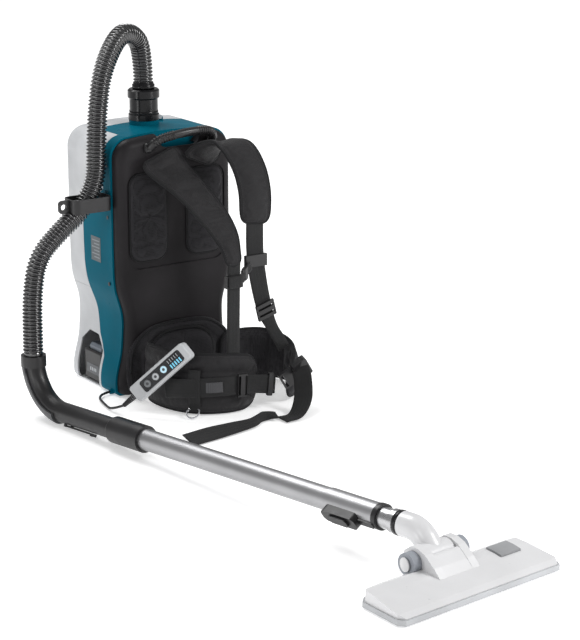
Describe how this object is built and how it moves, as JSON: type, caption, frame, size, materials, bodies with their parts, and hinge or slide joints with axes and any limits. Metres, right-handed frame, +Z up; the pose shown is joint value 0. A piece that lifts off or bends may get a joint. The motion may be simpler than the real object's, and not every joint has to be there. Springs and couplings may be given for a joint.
{
  "type": "backpack vacuum cleaner",
  "caption": "Battery backpack vacuum cleaner with teal and grey casing, padded harness, wired remote, corrugated hose, telescopic wand and tilting floor head",
  "frame": {"origin": "centre of the flat base of the pack, on the floor plane", "axes": "+Z up; the harness side of the pack faces -Y; +X to the right of a viewer who looks along +Y at the harness"},
  "size_m": [0.5454, 1.4384, 0.7367],
  "materials": {
    "teal_plastic": "smooth, slight gloss",
    "grey_plastic": "fine moulded texture",
    "white_plastic": "smooth",
    "black_plastic": "satin",
    "black_gloss": "smooth gloss",
    "panel_plastic": "fine grain",
    "dark_grey_plastic": "satin",
    "blue_grey_plastic": "satin",
    "padding": "woven cover over foam",
    "mesh": "open mesh",
    "webbing": "woven strap",
    "bag_paper": "non-woven",
    "filter_foam": "open foam",
    "wand_metal": "satin anodised",
    "inner_metal": "bright",
    "steel": "plain",
    "chrome_wire": "bright",
    "copper_board": "printed board",
    "contact_metal": "plain",
    "bristle": "bristles",
    "wheel_rubber": "smooth"
  },
  "bodies": {
    "pack": {"back_pads": "mesh", "back_panel": "panel_plastic", "bag_holder": "black_plastic", "battery_terminals": "contact_metal", "bearings": "steel", "bent_pipe": "black_plastic", "carry_handle": "black_plastic", "casing_fasteners": "steel", "chest_buckle_socket": "black_plastic", "chest_webbing": "webbing", "control_board": "copper_board", "d_ring": "chrome_wire", "dust_bag": "bag_paper", "harness_hardware": "black_plastic", "hose": "black_gloss", "hose_clip": "black_plastic", "lower_case": "grey_plastic", "lumbar_pad": "mesh", "main_casing": "teal_plastic", "motor_filter": "filter_foam", "motor_housing": "dark_grey_plastic", "pipe_grip": "dark_grey_plastic", "remote_cable": "black_plastic", "remote_housing": "grey_plastic", "remote_panel": "dark_grey_plastic", "shoulder_pad_far": "padding", "shoulder_pad_near": "padding", "shoulder_webbing": "webbing", "waist_buckle_socket": "black_plastic", "waist_pad_far": "padding", "waist_pad_near": "padding", "waist_webbing": "webbing", "wand_collar": "black_plastic", "wand_latch_housing": "dark_grey_plastic", "wand_outer_tube": "wand_metal"},
    "hose_cuff": {"hose_cuff": "black_gloss"},
    "cover": {"rear_cover": "grey_plastic"},
    "cover_latch": {"cover_latch": "grey_plastic"},
    "battery_left": {"battery_left": "black_plastic"},
    "battery_right": {"battery_right": "black_plastic"},
    "release_left": {"battery_release_left": "blue_grey_plastic"},
    "release_right": {"battery_release_right": "blue_grey_plastic"},
    "fan": {"impeller": "dark_grey_plastic", "motor_shaft": "steel"},
    "key_power": {"remote_key_power": "dark_grey_plastic"},
    "key_speed": {"remote_key_speed": "dark_grey_plastic"},
    "key_standby": {"remote_key_standby": "dark_grey_plastic"},
    "waist_plug": {"waist_buckle_plug": "black_plastic"},
    "chest_plug": {"chest_buckle_plug": "black_plastic"},
    "lever": {"lock_lever": "black_plastic"},
    "latch_button": {"wand_latch_button": "black_plastic"},
    "wand_inner": {"wand_inner_tube": "inner_metal"},
    "elbow": {"elbow": "white_plastic"},
    "head": {"head_shell": "white_plastic", "head_sole": "grey_plastic", "head_pins": "steel"},
    "pedal": {"head_pedal": "dark_grey_plastic"},
    "brush": {"brush_strip": "bristle"},
    "roller_left": {"head_roller_left": "wheel_rubber"},
    "roller_right": {"head_roller_right": "wheel_rubber"}
  },
  "joints": [
    {"name": "hose_swivel", "type": "hinge", "parent": "pack", "child": "hose_cuff", "pos_m": [-0.005, 0.01, 0.5384], "axis": [0, 0, 1], "continuous": true},
    {"name": "cover_hinge", "type": "hinge", "parent": "pack", "child": "cover", "pos_m": [0, 0.1185, 0.204], "axis": [-1, 0, 0], "range_deg": [0, 100]},
    {"name": "latch_hinge", "type": "hinge", "parent": "cover", "child": "cover_latch", "pos_m": [0.036, 0.052, 0.535], "axis": [-1, 0, 0], "range_deg": [0, 14], "stiffness_Nm_per_rad": 0.1},
    {"name": "battery_left_slide", "type": "slide", "parent": "pack", "child": "battery_left", "axis": [-1, 0, 0], "range_m": [0, 0.13]},
    {"name": "battery_right_slide", "type": "slide", "parent": "pack", "child": "battery_right", "axis": [1, 0, 0], "range_m": [0, 0.13]},
    {"name": "release_left_press", "type": "slide", "parent": "battery_left", "child": "release_left", "axis": [0, 0, -1], "range_m": [0, 0.003], "stiffness_N_per_m": 400},
    {"name": "release_right_press", "type": "slide", "parent": "battery_right", "child": "release_right", "axis": [0, 0, -1], "range_m": [0, 0.003], "stiffness_N_per_m": 400},
    {"name": "fan_spin", "type": "hinge", "parent": "pack", "child": "fan", "pos_m": [0, 0.04, 0.15], "axis": [0, 0, 1], "continuous": true},
    {"name": "press_power", "type": "slide", "parent": "pack", "child": "key_power", "axis": [0.7564, 0.6375, -0.1466], "range_m": [0, 0.0012], "stiffness_N_per_m": 400},
    {"name": "press_speed", "type": "slide", "parent": "pack", "child": "key_speed", "axis": [0.7564, 0.6375, -0.1466], "range_m": [0, 0.0012], "stiffness_N_per_m": 400},
    {"name": "press_standby", "type": "slide", "parent": "pack", "child": "key_standby", "axis": [0.7564, 0.6375, -0.1466], "range_m": [0, 0.0012], "stiffness_N_per_m": 400},
    {"name": "waist_buckle_slide", "type": "slide", "parent": "pack", "child": "waist_plug", "axis": [-0.8037, 0.221, -0.5525], "range_m": [0, 0.014]},
    {"name": "chest_buckle_slide", "type": "slide", "parent": "pack", "child": "chest_plug", "axis": [-0.7358, -0.6745, -0.0613], "range_m": [0, 0.009]},
    {"name": "lever_hinge", "type": "hinge", "parent": "pack", "child": "lever", "pos_m": [-0.31012, -0.21016, 0.00625], "axis": [0.9092, 0.091, -0.4063], "range_deg": [0, 4], "stiffness_Nm_per_rad": 0.3},
    {"name": "latch_press", "type": "slide", "parent": "pack", "child": "latch_button", "axis": [0.8322, 0.1274, 0.5397], "range_m": [0, 0.0015], "stiffness_N_per_m": 500},
    {"name": "wand_telescope", "type": "slide", "parent": "pack", "child": "wand_inner", "axis": [0.1207, -0.9915, 0.048], "range_m": [0, 0.25]},
    {"name": "elbow_swivel", "type": "hinge", "parent": "wand_inner", "child": "elbow", "pos_m": [-0.19087, -1.11434, 0.07056], "axis": [0.1207, -0.9915, 0.048], "range_deg": [-60, 60]},
    {"name": "head_tilt", "type": "hinge", "parent": "elbow", "child": "head", "pos_m": [-0.18265, -1.18184, 0.038], "axis": [-0.9927, -0.1208, 0], "range_deg": [-3, 46]},
    {"name": "pedal_rock", "type": "hinge", "parent": "head", "child": "pedal", "pos_m": [-0.0618, -1.20642, 0.024], "axis": [0.9927, 0.1208, 0], "range_deg": [0, 10.3]},
    {"name": "brush_drop", "type": "slide", "parent": "head", "child": "brush", "axis": [0, 0, 1], "range_m": [0, 0.004]},
    {"name": "roller_left_spin", "type": "hinge", "parent": "head", "child": "roller_left", "pos_m": [-0.23427, -1.18813, 0.038], "axis": [-0.9927, -0.1208, 0], "continuous": true},
    {"name": "roller_right_spin", "type": "hinge", "parent": "head", "child": "roller_right", "pos_m": [-0.13103, -1.17556, 0.038], "axis": [-0.9927, -0.1208, 0], "continuous": true}
  ],
  "couplings": [
    {"joint": "pedal_rock", "follows": "brush_drop", "rad_per_m": 43.6}
  ]
}
